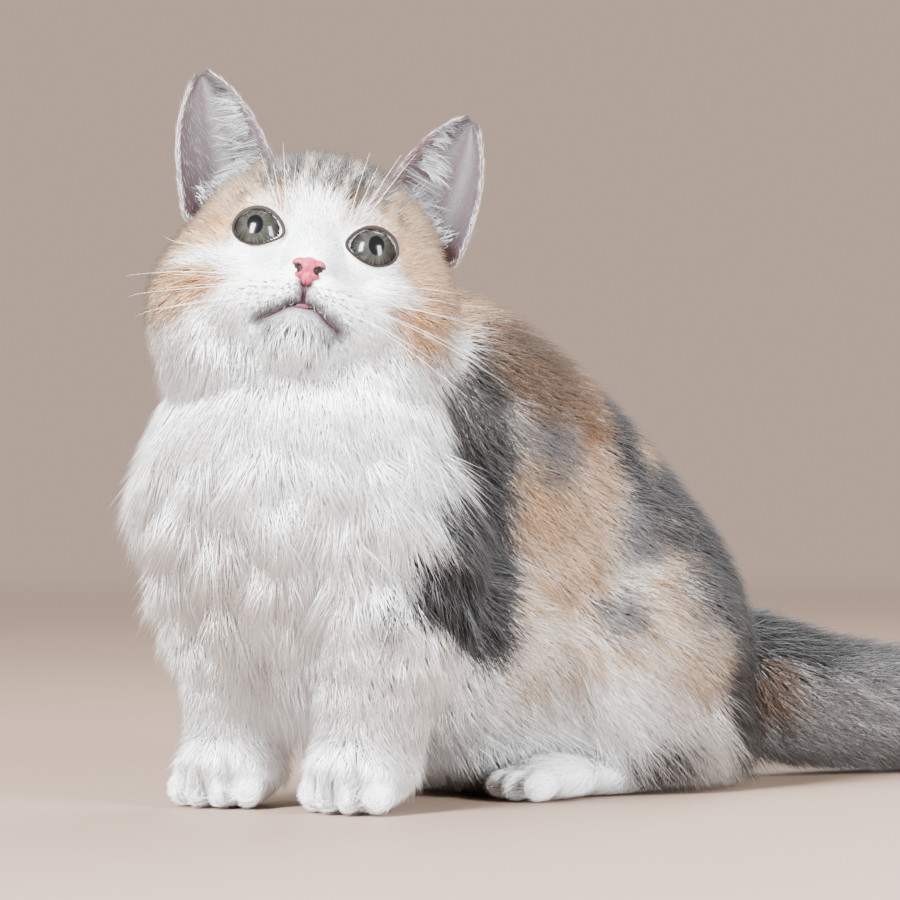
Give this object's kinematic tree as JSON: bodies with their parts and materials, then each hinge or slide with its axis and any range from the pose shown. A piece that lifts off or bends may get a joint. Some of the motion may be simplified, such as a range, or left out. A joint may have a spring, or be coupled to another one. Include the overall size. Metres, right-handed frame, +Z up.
{
  "type": "munchkin kitten, sitting",
  "caption": "Life-size still model of a sitting calico munchkin kitten with short legs, upright ears, a fluffy white bib and a thick tail laid on the floor.",
  "frame": {"origin": "centre of the bounding box on the floor, under the sitting animal", "axes": "+Z up, +Y along the body towards the tail, +X the animal's left side; the face looks to -Y and +X"},
  "size_m": [0.12, 0.3366, 0.2131],
  "materials": {
    "head_coat": "short plush fur, white with cream tabby cheeks",
    "ear_coat": "thin short fur, pink-grey inside",
    "iris": "wet, clear and glossy",
    "nose_leather": "pink, finely grained",
    "bib_coat": "long soft white fur",
    "leg_coat": "short white fur",
    "back_coat": "dense medium fur, dark, cream and orange tabby",
    "flank_coat": "dense medium fur, cream and white",
    "tail_coat": "long ticked grey fur"
  },
  "bodies": {
    "root": {"head": "head_coat", "ear_left": "ear_coat", "ear_right": "ear_coat", "eye_left": "iris", "eye_right": "iris", "nose": "nose_leather", "chest": "bib_coat", "torso": "back_coat", "rump": "back_coat", "foreleg_left": "leg_coat", "foreleg_right": "leg_coat", "fore_paw_left": "leg_coat", "fore_paw_right": "leg_coat", "thigh_left": "flank_coat", "thigh_right": "flank_coat", "hind_paw_left": "leg_coat", "hind_paw_right": "leg_coat", "tail_base": "tail_coat", "tail_tip": "tail_coat"}
  },
  "joints": []
}
